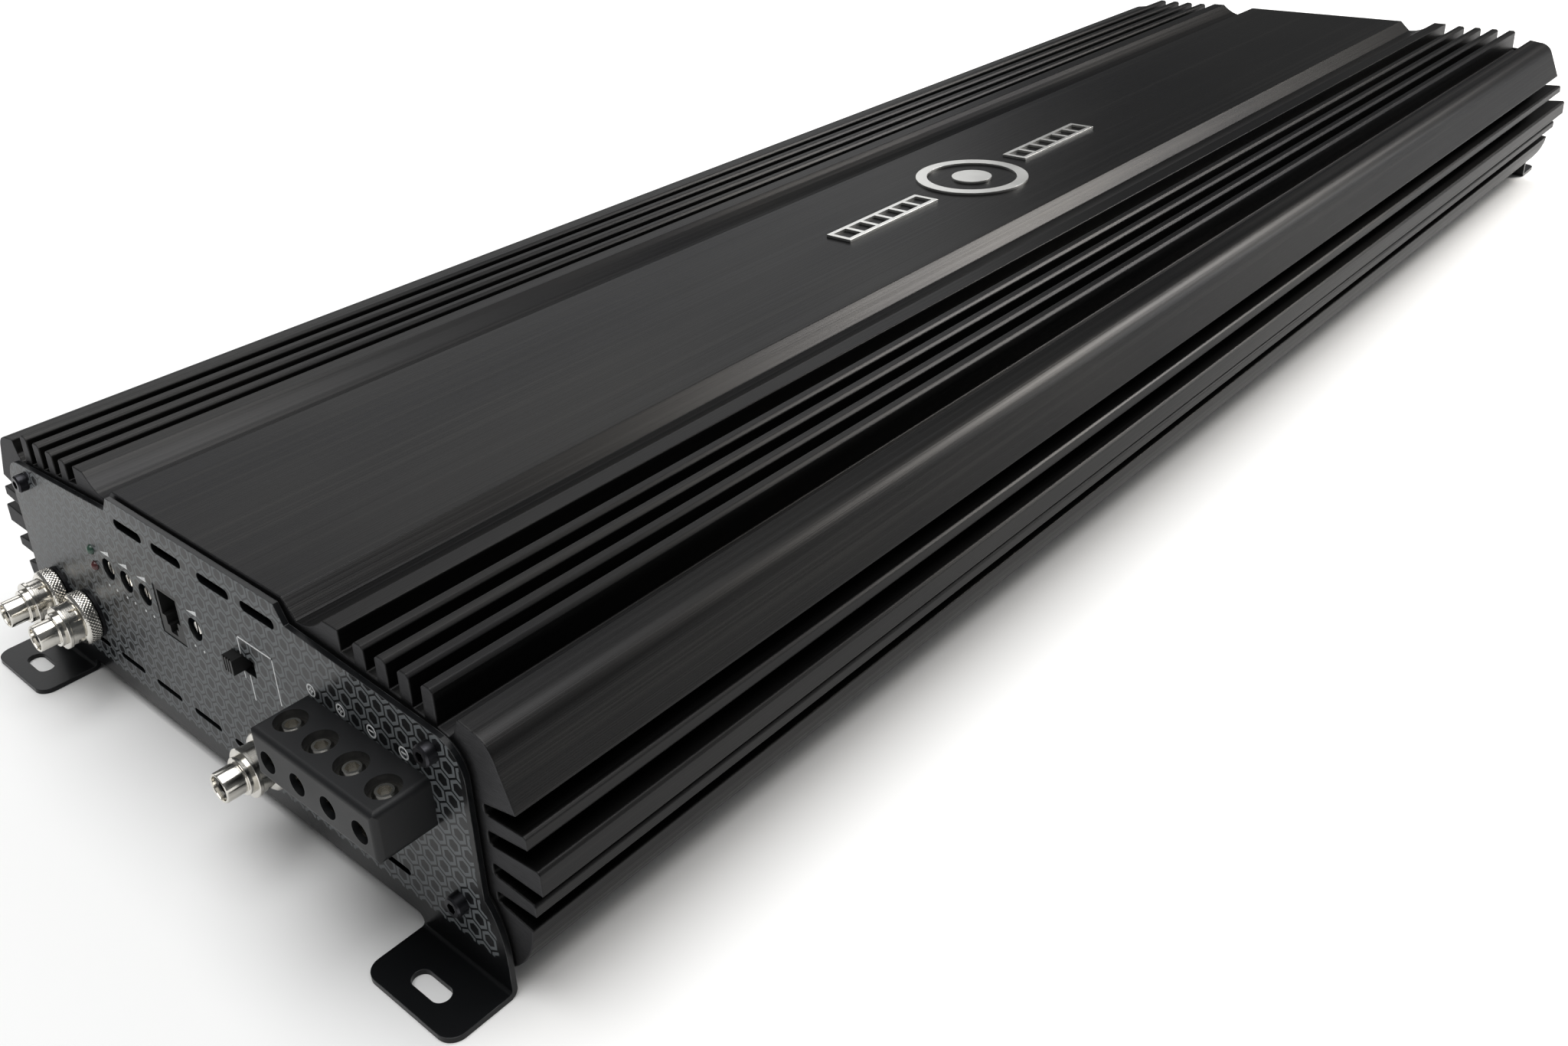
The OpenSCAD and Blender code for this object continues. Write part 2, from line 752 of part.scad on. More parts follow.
module rca_washers() color("#141414")
    at_jacks()
        difference() {
            cylinder(d = rca_ring_d - 0.8, h = rca_washer_t);
            translate([0, 0, -over])
                cylinder(d = rca_thread_d, h = rca_washer_t + 2 * over);
        }

module rca_rings() color(silver)
    at_jacks()
        rotate_extrude()
            polygon([[rca_thread_d / 2, rca_washer_t], [rca_ring_d / 2 - 0.4, rca_washer_t],
                [rca_ring_d / 2, rca_washer_t + 0.4],
                [rca_ring_d / 2, rca_washer_t + rca_ring_t - 0.8],
                [rca_ring_d / 2 - 0.8, rca_washer_t + rca_ring_t],
                [rca_thread_d / 2, rca_washer_t + rca_ring_t]]);

module rca_shells() color(silver) {
    collar = rca_washer_t + rca_ring_t;
    flange = collar + rca_collar_t;
    neck = flange + rca_flange_t;
    barrel = neck + rca_neck_t;
    edge = 0.2;
    at_jacks()
        rotate_extrude()
            polygon([[rca_bore_d / 2, -rca_thread_in], [rca_thread_d / 2, -rca_thread_in],
                [rca_thread_d / 2, collar], [rca_collar_r, collar], [rca_collar_r, flange],
                [rca_flange_r, flange + edge], [rca_flange_r, neck - edge], [rca_collar_r, neck],
                [rca_neck_r, neck], [rca_neck_r, barrel], [rca_barrel_d / 2, barrel],
                [rca_barrel_d / 2, rca_total - 0.5], [rca_barrel_d / 2 - 0.3, rca_total],
                [rca_bore_d / 2 + edge, rca_total], [rca_bore_d / 2, rca_total - 0.3]]);
}

module rca_insulators() color("#1a1a1c")
    at_jacks()
        rotate_extrude()
            polygon([[rca_pin_r, -6], [rca_bore_d / 2, -6], [rca_bore_d / 2, rca_total - 1.2],
                [rca_pin_r, rca_total - 1.2]]);

module rca_contacts() color("#c8a24a")
    at_jacks()
        rotate_extrude()
            polygon([[0, -8], [rca_pin_r, -8], [rca_pin_r, rca_total - 1.6], [1.6, rca_total - 1.6],
                [1.6, rca_total - 11], [0, rca_total - 11]]);

module remote_jack() color("#2a2b2c") {
    front = -plate_face + 0.2;
    lip = 1.2;
    difference() {
        block([jack_x - jack_w / 2, front, jack_z - jack_h / 2],
            [jack_x + jack_w / 2, -board_front, jack_z + jack_h / 2]);
        block([jack_x - 4.9, front - over, jack_z - 1.6], [jack_x + 4.9, -board_front - lip, jack_z + 6.4]);
        block([jack_x - 3, front - over, jack_z - 4.2], [jack_x + 3, -board_front - lip, jack_z - 1.5]);
        block([jack_x - 1.8, front - over, jack_z - 6.4],
            [jack_x + 1.8, -board_front - lip - 3, jack_z - 4.1]);
    }
}

module remote_jack_contacts() color("#c8a24a")
    for (i = [-2.5:1:2.5])
        translate([jack_x + i * 1.27, -board_front - 1.2, jack_z + 6.4])
            rotate([0, 0, 180])
                block([-0.22, -eps, -1.2], [0.22, 7, -0.7]);

module pot_bodies() color("#2c4a6e")
    for (x = pot_x)
        difference() {
            union() {
                block([x - pot_body / 2, -board_front - pot_body_deep, pot_z - pot_body / 2],
                    [x + pot_body / 2, -board_front, pot_z + pot_body / 2]);
                rod_y(x, pot_z, 6.2, -plate_back + 0.6, -board_front - pot_body_deep + eps);
            }
            rod_y(x, pot_z, pot_shaft_d + 2 * run_gap, -plate_back - over, -board_front - 1.5);
        }

module pot_shaft(x) color(silver)
    difference() {
        union() {
            rod_y(x, pot_z, pot_shaft_d, -plate_face + 1.1, -board_front - 2);
            translate([x, -plate_face + 1.1, pot_z])
                rotate([90, 0, 0])
                    cylinder(d1 = pot_shaft_d, d2 = pot_shaft_d - 0.6, h = 0.3);
        }
        block([x - 0.45, -plate_face - over, pot_z - pot_shaft_d],
            [x + 0.45, -plate_face + 1.9, pot_z + pot_shaft_d]);
    }

module slide_switch_body() color("#30302f")
    difference() {
        block([switch_x - 7.5, -plate_back + 0.5, switch_z - 4.4],
            [switch_x + 7.5, -board_front, switch_z + 4.4]);
        block([switch_x - switch_window[0] / 2 + 0.6, -plate_back - over, switch_z - 1.6],
            [switch_x + switch_window[0] / 2 - 0.6, -board_front - 5, switch_z + 1.6]);
    }

// finger piece at the -X end of its window, with grip grooves across its face
module slide_switch_knob() color(black) {
    x0 = switch_x - switch_window[0] / 2 + 0.2;
    front = -plate_face - 3.2;
    difference() {
        union() {
            block([x0, front, switch_z - switch_knob[1] / 2],
                [x0 + switch_knob[0], -plate_back + 0.3, switch_z + switch_knob[1] / 2]);
            block([x0 + 0.9, -plate_back, switch_z - 1.4],
                [x0 + switch_knob[0] - 0.9, -board_front - 6, switch_z + 1.4]);
        }
        for (i = [0:2])
            block([x0 + 0.9 + i * 1.2, front - over, switch_z - switch_knob[1]],
                [x0 + 1.5 + i * 1.2, front + 0.5, switch_z + switch_knob[1]]);
    }
}

module led(z) {
    rod_y(led_x, z, led_d, -plate_face + 0.2, -board_front);
    translate([led_x, -plate_face + 0.2, z])
        intersection() {
            sphere(d = led_d);
            block([-led_d, -led_d, -led_d], [led_d, eps, led_d]);
        }
    rod_y(led_x, z, led_d + 0.8, -plate_back + 0.4, -plate_back + 1.4);
}

module power_led() color("#2f9a55") led(led_z[1]);

module protect_led() color("#a02a2a") led(led_z[0]);

function standoff_spots() = [for (x = standoff_x) for (y = standoff_y) [x, y]];

module main_board() color("#1f5a36")
    difference() {
        block([-pcb_hw, -pcb_len / 2, pcb_z], [pcb_hw, pcb_len / 2, pcb_top]);
        for (p = standoff_spots())
            translate([p[0], p[1], pcb_z - over])
                cylinder(d = 3.4, h = board_t + 2 * over);
    }

module control_board() color("#1f5a36")
    difference() {
        block([ctrl_x[0], -board_front, ctrl_z[0]], [ctrl_x[1], -board_front + board_t, ctrl_z[1]]);
        for (x = [ctrl_x[0] + 3, ctrl_x[1] - 3])
            rod_y(x, ctrl_z[1] - 3, 2.6, -board_front - over, -board_front + board_t + over);
    }

module board_header() color("#17181a") {
    back = -board_front + board_t;
    block([-60, back, pcb_top], [-20, back + 2.5, pcb_top + 2.5]);
    for (i = [0:15])
        translate([-58.7 + i * 2.5, back, pcb_top + 2.5 - eps])
            cube([0.64, 0.64, 22]);
}

module board_standoffs() color("#b8b090")
    for (p = standoff_spots())
        translate([p[0], p[1], cover_z + cover_t])
            difference() {
                cylinder(r = 3.4, h = pcb_z - cover_z - cover_t, $fn = 6);
                translate([0, 0, 1])
                    cylinder(d = 3 + 2 * run_gap, h = pcb_z);
            }

module board_screws() color(silver)
    for (p = standoff_spots())
        translate([p[0], p[1], pcb_top]) {
            difference() {
                cylinder(r1 = 2.9, r2 = 2.3, h = 2);
                translate([0, 0, 1])
                    cylinder(r = 1.1, h = 2, $fn = 6);
            }
            translate([0, 0, -board_t - 5])
                cylinder(d = 3, h = board_t + 5 + eps);
        }

// an electrolytic can with a rolled groove near its base and a soft top edge
module can(r, h) {
    rotate_extrude()
        polygon([[0, 0], [r, 0], [r, 3], [r - 0.7, 3.6], [r, 4.2], [r, h - 0.8], [r - 0.8, h],
            [r - 1.6, h], [r - 1.9, h - 0.4], [0, h - 0.4]]);
}

module supply_capacitors() color("#20324e")
    for (x = [-66, -41, 41, 66])
        for (i = [0:2])
            translate([x, supply_y + i * supply_pitch, pcb_top])
                can(supply_can[0], supply_can[1]);

module rail_capacitors() color("#1e1e22")
    for (x = [-60, -30, 30, 60])
        for (i = [0:3])
            translate([x, rail_y - i * rail_pitch, pcb_top])
                can(rail_can[0], rail_can[1]);

function core_y(i) = 0.04 * chassis_len + core_pitch * (i + 0.5);

module transformer_cores() color("#5a5f52")
    for (s = [-1, 1])
        for (i = [0:2])
            translate([s * core_x, core_y(i), pcb_top + core_lift])
                rotate_extrude()
                    translate([core_in, 0])
                        square(core_size);

module transformer_windings() color("#b5652a") {
    wire = 2.4;
    for (s = [-1, 1])
        for (i = [0:2])
            for (a = [20, 200])
                translate([s * core_x, core_y(i), pcb_top + core_lift])
                    rotate([0, 0, a])
                        rotate_extrude(angle = 140)
                            difference() {
                                translate([core_in - wire, -wire])
                                    square([core_size[0] + 2 * wire, core_size[1] + 2 * wire]);
                                translate([core_in, 0])
                                    square(core_size);
                            }
}

module filter_coils() color("#b5652a")
    for (s = [-1, 1])
        for (i = [0:1])
            translate([s * coil_x, coil_y - i * coil_pitch, pcb_top]) {
                rotate_extrude()
                    translate([8, 0])
                        square([13, 24]);
                cylinder(r = 5, h = 26);
            }

function device_y(k, i) = k * (0.03 * chassis_len + 14 + i * device_pitch);
function row_low(k) = min(device_y(k, 0), device_y(k, device_n - 1));
function row_high(k) = max(device_y(k, 0), device_y(k, device_n - 1));

// one row of power transistors against each side wall: k = 1 towards +Y, k = -1 towards -Y
module transistor_rows(k) {
    x = cavity_hw - pad_t;
    for (s = [0, 1])
        mirror([s, 0, 0])
            for (i = [0:device_n - 1])
                translate([0, device_y(k, i), 0]) {
                    block([x - device_t, -device_w / 2, device_z], [x, device_w / 2, device_z + device_h]);
                    for (j = [-1:1])
                        device_leg(x - 2.2, j * 5.4);
                }
}

// a leg bent in over the screw channel and down to the board
module device_leg(x, y) {
    w = 1.2;
    foot = pcb_hw - 3;
    translate([0, y + w / 2, 0])
        rotate([90, 0, 0])
            linear_extrude(w)
                polygon([[x, device_z + eps], [x - 0.6, device_z + eps], [x - 0.6, device_z - 1.6],
                    [foot, device_z - 2.4], [foot, pcb_top], [foot + 0.6, pcb_top],
                    [foot + 0.6, device_z - 3], [x, device_z - 2.2]]);
}

module supply_transistors() color("#191a1c") transistor_rows(1);

module output_transistors() color("#191a1c") transistor_rows(-1);

module thermal_pads() color("#8fa9b8")
    for (s = [0, 1])
        mirror([s, 0, 0])
            for (k = [-1, 1])
                difference() {
                    block([cavity_hw - pad_t, row_low(k) - 10, device_z - 1],
                        [cavity_hw, row_high(k) + 10, device_z + device_h + 1]);
                    clamp_holes(k, cavity_hw - pad_t - over);
                }

function clamp_spots() = [for (s = [-1, 1]) for (k = [-1, 1]) for (i = clamp_after)
    [s * cavity_hw, device_y(k, i) + k * device_pitch / 2]];

// clearance holes for one row's clamp screws, from x0 outwards through the +X wall's pieces
module clamp_holes(k, x0) {
    for (i = clamp_after)
        translate([x0, device_y(k, i) + k * device_pitch / 2, clamp_z])
            rotate([0, 90, 0])
                cylinder(d = clamp_screw_d + hole_gap, h = bar_t + 2 * over);
}

module clamp_bars() color("#8c8f92") {
    x = cavity_hw - pad_t - device_t;
    for (s = [0, 1])
        mirror([s, 0, 0])
            for (k = [-1, 1])
                difference() {
                    block([x - bar_t, row_low(k) - 8, bar_z[0]], [x, row_high(k) + 8, bar_z[1]]);
                    clamp_holes(k, x - bar_t - over);
                }
}

module clamp_screws() color(silver) {
    x = cavity_hw - pad_t - device_t - bar_t;
    for (p = clamp_spots())
        mirror([p[0] > 0 ? 0 : 1, 0, 0])
            translate([x, p[1], clamp_z])
                rotate([0, 90, 0]) {
                    translate([0, 0, -2.2])
                        cylinder(r1 = 2.4, r2 = 2.9, h = 2.2);
                    translate([0, 0, -eps])
                        cylinder(d = clamp_screw_d, h = cavity_hw - x + clamp_screw_deep - 1);
                }
}

// two copper bars on the board, from the power terminals' tails to the transformers
module bus_bars() color("#b8743c") {
    tail = plate_face - pwr_neck - tail_out;
    for (s = [0, 1])
        mirror([s, 0, 0]) {
            block([bus_x[0], supply_y - 12, pcb_top], [bus_x[1], tail, pcb_top + 2]);
            block([bus_x[0] + 4, tail - 3, pcb_top + 2 - eps], [bus_x[1] - 3, tail, pcb_top + 10]);
        }
}

heatsink();
badge();
bottom_cover();
bottom_cover_screws();
input_end_plate();
input_end_gasket();
input_end_screws();
power_end_plate();
power_end_gasket();
power_end_screws();
speaker_block();
speaker_barrels();
speaker_screw(0);  // speaker_screw_1
speaker_screw(1);  // speaker_screw_2
speaker_screw(2);  // speaker_screw_3
speaker_screw(3);  // speaker_screw_4
power_block();
power_barrels();
power_screw(0);  // power_screw_1
power_screw(1);  // power_screw_2
power_screw(2);  // power_screw_3
power_screw(3);  // power_screw_4
turn_on_block();
turn_on_barrel();
turn_on_screw();
rca_bodies();
rca_washers();
rca_rings();
rca_shells();
rca_insulators();
rca_contacts();
remote_jack();
remote_jack_contacts();
pot_bodies();
pot_shaft(pot_x[0]);  // gain_shaft
pot_shaft(pot_x[1]);  // subsonic_shaft
pot_shaft(pot_x[2]);  // bass_boost_shaft
pot_shaft(pot_x[3]);  // lowpass_shaft
slide_switch_body();
slide_switch_knob();
power_led();
protect_led();
main_board();
control_board();
board_header();
board_standoffs();
board_screws();
supply_capacitors();
rail_capacitors();
transformer_cores();
transformer_windings();
filter_coils();
supply_transistors();
output_transistors();
thermal_pads();
clamp_bars();
clamp_screws();
bus_bars();
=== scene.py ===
"""Looks of a long finned car amplifier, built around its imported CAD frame.

Metres. X runs across, Y along the heatsink, Z up; the signal end faces -Y and Z = 0 is the mounting plane.
"""

import json
import math

import bmesh
import bpy
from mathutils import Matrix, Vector


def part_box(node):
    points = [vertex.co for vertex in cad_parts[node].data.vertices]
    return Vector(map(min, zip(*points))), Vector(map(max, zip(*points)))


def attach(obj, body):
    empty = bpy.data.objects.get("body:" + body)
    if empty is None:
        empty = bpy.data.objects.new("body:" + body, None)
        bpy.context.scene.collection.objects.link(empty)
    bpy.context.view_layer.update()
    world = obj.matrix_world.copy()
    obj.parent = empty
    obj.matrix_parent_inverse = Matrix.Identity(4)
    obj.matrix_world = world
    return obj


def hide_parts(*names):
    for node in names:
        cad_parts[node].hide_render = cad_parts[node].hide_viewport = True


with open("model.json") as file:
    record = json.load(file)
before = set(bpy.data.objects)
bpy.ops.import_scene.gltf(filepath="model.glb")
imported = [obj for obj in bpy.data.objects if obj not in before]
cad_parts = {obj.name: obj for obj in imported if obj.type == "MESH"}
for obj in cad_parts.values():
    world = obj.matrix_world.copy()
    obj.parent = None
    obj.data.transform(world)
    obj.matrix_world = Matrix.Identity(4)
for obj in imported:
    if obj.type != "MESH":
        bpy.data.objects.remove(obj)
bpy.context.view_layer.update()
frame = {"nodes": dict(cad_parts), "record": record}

MM = 0.001
NODES = frame["nodes"]
FLOOR_GAP = 0.05 * MM           # keeps the feet clear of the floor's surface
JACK_PITCH = 20 * MM            # between the two input jacks
JACK_ROOT = 4.5 * MM            # radius of the threaded root inside a jack's base ring
FOOT_REACH = 18 * MM            # from the feet's tips to the signal end plate's printed face


def span(node):
    """Lowest corner, highest corner and middle of a CAD node, as vectors in metres."""
    low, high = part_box(node)
    return low, high, (low + high) / 2


def shade(colour, factor):
    return tuple(factor * c for c in colour)


PANEL_FACE = span("input_end_plate")[0].y + FOOT_REACH


# ---------------------------------------------------------------- materials

class Finish:
    """A material and short calls for the shader nodes that the finishes are made of."""

    def __init__(self, name, colour, roughness, metallic=0.0, specular=0.5):
        self.material = bpy.data.materials.new(name)
        self.material.use_nodes = True
        self.tree = self.material.node_tree
        self.shader = self.tree.nodes["Principled BSDF"]
        self.set("Base Color", (*colour, 1))
        self.set("Roughness", roughness)
        self.set("Metallic", metallic)
        self.set("Specular IOR Level", specular)

    def set(self, socket, value):
        self.shader.inputs[socket].default_value = value

    def join(self, value, socket):
        """Feeds a socket from another socket, or sets it to a plain value."""
        if isinstance(value, bpy.types.NodeSocket):
            self.tree.links.new(value, socket)
        elif socket.type == "VECTOR" and isinstance(value, (int, float)):
            socket.default_value = (value, value, value)
        elif socket.type == "RGBA" and len(value) == 3:
            socket.default_value = (*value, 1)
        else:
            socket.default_value = value

    def feed(self, socket, value):
        self.join(value, self.shader.inputs[socket])

    def math(self, kind, *values):
        node = self.tree.nodes.new("ShaderNodeMath")
        node.operation = kind
        for socket, value in zip(node.inputs, values):
            self.join(value, socket)
        return node.outputs[0]

    def step(self, value, start, end):
        """0 below start, 1 above end, smooth between; start may be the larger."""
        node = self.tree.nodes.new("ShaderNodeMapRange")
        node.interpolation_type = "SMOOTHSTEP"
        flip = start > end
        self.join(value, node.inputs["Value"])
        node.inputs["From Min"].default_value = min(start, end)
        node.inputs["From Max"].default_value = max(start, end)
        node.inputs["To Min"].default_value = 1.0 if flip else 0.0
        node.inputs["To Max"].default_value = 0.0 if flip else 1.0
        return node.outputs["Result"]

    def scale(self, value, low, high):
        """Takes 0 to 1 to low to high."""
        return self.math("MULTIPLY_ADD", value, high - low, low)

    def mix(self, share, first, second):
        node = self.tree.nodes.new("ShaderNodeMix")
        node.data_type = "RGBA"
        self.join(share, node.inputs[0])
        self.join(first, node.inputs[6])
        self.join(second, node.inputs[7])
        return node.outputs[2]

    def place(self, stretch=1):
        """Position on the object in metres, times stretch: one number, or one for each axis."""
        if isinstance(stretch, (int, float)):
            stretch = (stretch, stretch, stretch)
        coords = self.tree.nodes.new("ShaderNodeTexCoord")
        mapping = self.tree.nodes.new("ShaderNodeMapping")
        mapping.inputs["Scale"].default_value = stretch
        self.join(coords.outputs["Object"], mapping.inputs["Vector"])
        return mapping.outputs["Vector"]

    def axes(self, vector):
        node = self.tree.nodes.new("ShaderNodeSeparateXYZ")
        self.join(vector, node.inputs[0])
        return node.outputs

    def facing(self):
        """X, Y and Z of the surface's own normal."""
        return self.axes(self.tree.nodes.new("ShaderNodeNewGeometry").outputs["Normal"])

    def noise(self, stretch, detail=2.0, rough=0.5):
        """Soft noise from 0 to 1, with about stretch features to the metre."""
        node = self.tree.nodes.new("ShaderNodeTexNoise")
        self.join(self.place(stretch), node.inputs["Vector"])
        node.inputs["Scale"].default_value = 1.0
        node.inputs["Detail"].default_value = detail
        node.inputs["Roughness"].default_value = rough
        return node.outputs["Fac"]

    def bump(self, *layers, rounding=None):
        """Stacks (height, distance in metres, strength) layers on the normal, its edges rounded first."""
        normal = self.rounded(rounding) if rounding else None
        for height, distance, strength in layers:
            node = self.tree.nodes.new("ShaderNodeBump")
            node.inputs["Distance"].default_value = distance
            node.inputs["Strength"].default_value = strength
            self.join(height, node.inputs["Height"])
            if normal is not None:
                self.join(normal, node.inputs["Normal"])
            normal = node.outputs["Normal"]
        self.feed("Normal", normal)

    def rounded(self, radius):
        """The normal of the surface with its edges rounded."""
        bevel = self.tree.nodes.new("ShaderNodeBevel")
        bevel.samples = 6
        bevel.inputs["Radius"].default_value = radius
        return bevel.outputs[0]

    def edge_wear(self, radius):
        """1 on sharp outer edges, from the angle between the flat and the rounded normal."""
        flat = self.tree.nodes.new("ShaderNodeNewGeometry").outputs["Normal"]
        dot = self.tree.nodes.new("ShaderNodeVectorMath")
        dot.operation = "DOT_PRODUCT"
        self.join(self.rounded(radius), dot.inputs[0])
        self.join(flat, dot.inputs[1])
        return self.step(dot.outputs["Value"], 0.99, 0.8)


ALONG = (300, 12, 300)          # a grain's features to the metre when it runs along Y
COAT_PEEL = 900                 # bumps to the metre of baked coats
COAT_ROUNDING = 0.3 * MM        # edge radius of coated sheet
CUT_ROUNDING = 0.7 * MM         # edge radius of the extrusion
MOULD_ROUNDING = 0.6 * MM       # edge radius of moulded pieces
WINDING = 3600.0                # radians to the metre of the wave that draws wound turns


def anodised(name):
    """Black anodised extrusion: fine die lines along Y, sawn ends, and a faint mottle from the dye."""
    f = Finish(name, (0.030, 0.030, 0.031), 0.34, metallic=1.0)
    f.set("Specular Tint", (0.68, 0.68, 0.68, 1))
    lines = f.noise((2600, 5, 2600), 3.0, 0.6)
    coarse = f.noise((420, 1.6, 420))
    mottle = f.noise((14, 5, 14), 3.0)
    end = f.step(f.math("ABSOLUTE", f.facing()[1]), 0.75, 0.95)
    saw = f.noise((500, 500, 5200))
    dye = f.mix(f.step(mottle, 0.3, 0.7), (0.024, 0.024, 0.025), (0.034, 0.0335, 0.033))
    streaked = f.mix(f.math("MULTIPLY", f.step(coarse, 0.52, 0.72), 0.5), dye, (0.046, 0.045, 0.0435))
    f.feed("Base Color", f.mix(end, streaked, f.mix(saw, (0.040, 0.040, 0.042), (0.085, 0.085, 0.088))))
    brushed = f.math("ADD", f.scale(lines, 0.27, 0.45), f.scale(coarse, -0.04, 0.04))
    f.feed("Roughness", f.math("MAXIMUM", brushed, f.math("MULTIPLY", end, 0.5)))
    side = f.math("SUBTRACT", 1.0, end)
    f.bump((f.math("MULTIPLY", lines, side), 0.00012, 0.35),
           (f.math("MULTIPLY", coarse, side), 0.0003, 0.09),
           (f.math("MULTIPLY", saw, end), 0.0001, 0.5), rounding=CUT_ROUNDING)
    return f.material


def rubbed(f, colour):
    """A coat's colour, rubbed paler along its sharp edges in patches."""
    patches = f.step(f.noise(210, 3.0, 0.6), 0.44, 0.60)
    share = f.math("MULTIPLY", f.edge_wear(COAT_ROUNDING), f.scale(patches, 0.35, 1.0))
    return f.mix(share, colour, (0.115, 0.118, 0.122))


def sheet_coat(name):
    """Baked black coat: fine orange peel, slight changes of gloss, and rubbed edges."""
    colour = (0.006, 0.0062, 0.0068)
    f = Finish(name, colour, 0.3, specular=0.35)
    peel = f.noise(COAT_PEEL)
    haze = f.noise(22, 3.0)
    coat = f.mix(f.step(haze, 0.3, 0.7), shade(colour, 0.85), shade(colour, 1.15))
    f.feed("Base Color", rubbed(f, coat))
    f.feed("Roughness", f.scale(haze, 0.2, 0.4))
    f.bump((peel, 0.00008, 0.25), rounding=COAT_ROUNDING)
    return f.material


def hexagon(f, u, v):
    """Distance from the middle of a cell of a pointed-top honeycomb, 1 at its sides; cells are 1 wide."""
    tall = math.sqrt(3)
    reach = []
    for shift in (0.0, 0.5):
        a = f.math("ABSOLUTE", f.math("SUBTRACT", f.math("FRACT", f.math("ADD", u, shift)), 0.5))
        row = f.math("FRACT", f.math("ADD", f.math("DIVIDE", v, tall), shift))
        b = f.math("ABSOLUTE", f.math("MULTIPLY", f.math("SUBTRACT", row, 0.5), tall))
        slant = f.math("ADD", f.math("MULTIPLY", a, 0.5), f.math("MULTIPLY", b, tall / 2))
        reach.append(f.math("MAXIMUM", a, slant))
    return f.math("MULTIPLY", f.math("MINIMUM", *reach), 2.0)


CELL = 5.3 * MM                 # width of a cell of the printed honeycomb
FADE = 0.2 * MM                 # softness of the print's edge
PRINT_BOTTOM = 9.4 * MM         # lowest line of the print, over the bend to the feet
PRINT_HALF = 107.4 * MM         # half the print's width
PRINT_FLARE = 4 * MM            # what each side gains towards the foot of the plate
FLARE_TOP, FLARE_FULL = 25 * MM, 16 * MM        # heights where that gain starts and is complete


def printed_panel(name):
    """Black coat with a grey print of empty honeycomb cells that stops short of the plate's edges."""
    f = Finish(name, (0.005, 0.0055, 0.006), 0.3, specular=0.22)
    x, y, z = f.axes(f.place())
    d = hexagon(f, f.math("DIVIDE", x, CELL), f.math("DIVIDE", z, CELL))
    cells = f.math("MULTIPLY", f.step(d, 0.54, 0.60), f.step(d, 0.92, 0.88))
    front = f.step(f.facing()[1], -0.6, -0.9)
    on_face = f.step(y, PANEL_FACE + 2 * FADE, PANEL_FACE + FADE)
    above = f.step(z, PRINT_BOTTOM, PRINT_BOTTOM + 2 * FADE)
    flare = f.math("MULTIPLY", f.step(z, FLARE_TOP, FLARE_FULL), PRINT_FLARE)
    across = f.math("SUBTRACT", f.math("ABSOLUTE", x), flare)
    inside = f.step(across, PRINT_HALF + FADE, PRINT_HALF - FADE)
    keep = f.math("MULTIPLY", f.math("MULTIPLY", front, above), f.math("MULTIPLY", inside, on_face))
    ink = f.math("MULTIPLY", cells, keep)
    haze = f.noise(18, 3.0)
    peel = f.noise(COAT_PEEL)
    base = f.mix(haze, (0.0035, 0.0038, 0.0042), (0.0065, 0.007, 0.0078))
    printed = f.mix(ink, base, f.mix(haze, (0.100, 0.109, 0.114), (0.130, 0.141, 0.147)))
    f.feed("Base Color", rubbed(f, printed))
    f.feed("Roughness", f.math("ADD", f.scale(haze, 0.22, 0.36), f.math("MULTIPLY", ink, 0.12)))
    f.bump((peel, 0.00008, 0.2), (ink, 0.00004, 0.5), rounding=COAT_ROUNDING)
    return f.material


def plated(name, colour, roughness=0.12):
    """Bright plating with fine turning marks and faint tarnish."""
    f = Finish(name, colour, roughness, metallic=1.0)
    turning = f.noise((300, 5200, 300))
    tarnish = f.noise(160, 3.0)
    f.feed("Base Color", f.mix(f.step(tarnish, 0.35, 0.75), colour, shade(colour, 0.82)))
    f.feed("Roughness", f.scale(tarnish, roughness * 0.7, roughness * 1.9))
    f.bump((turning, 0.00003, 0.25))
    return f.material


def moulded(name, colour, low=0.38, high=0.55, grain=0.3):
    """Moulded plastic with a spark-eroded grain and slightly polished edges."""
    f = Finish(name, colour, high, specular=0.3)
    fine = f.noise(2400)
    haze = f.noise(60, 3.0)
    wear = f.edge_wear(MOULD_ROUNDING)
    worn = tuple(1.9 * c + 0.004 for c in colour)
    plain = f.mix(haze, colour, shade(colour, 1.25))
    f.feed("Base Color", f.mix(f.math("MULTIPLY", wear, 0.6), plain, worn))
    f.feed("Roughness", f.math("SUBTRACT", f.scale(haze, low, high), f.math("MULTIPLY", wear, 0.08)))
    f.bump((fine, 0.00006, grain))
    return f.material


def cast_badge(name):
    """Satin cast metal with slight changes of tone."""
    f = Finish(name, (0.62, 0.62, 0.60), 0.3, metallic=0.9)
    satin = f.noise(1800)
    haze = f.noise(90, 3.0)
    f.feed("Base Color", f.mix(haze, (0.55, 0.55, 0.53), (0.74, 0.74, 0.72)))
    f.feed("Roughness", f.scale(haze, 0.24, 0.42))
    f.bump((satin, 0.00005, 0.25))
    return f.material


def white_ink(name):
    """Screen-printed white with a slightly uneven cover."""
    f = Finish(name, (0.62, 0.63, 0.63), 0.45)
    grain = f.noise(1500, 3.0)
    f.feed("Base Color", f.mix(f.step(grain, 0.35, 0.6), (0.62, 0.63, 0.63), (0.82, 0.83, 0.83)))
    f.feed("Roughness", f.scale(grain, 0.35, 0.55))
    return f.material


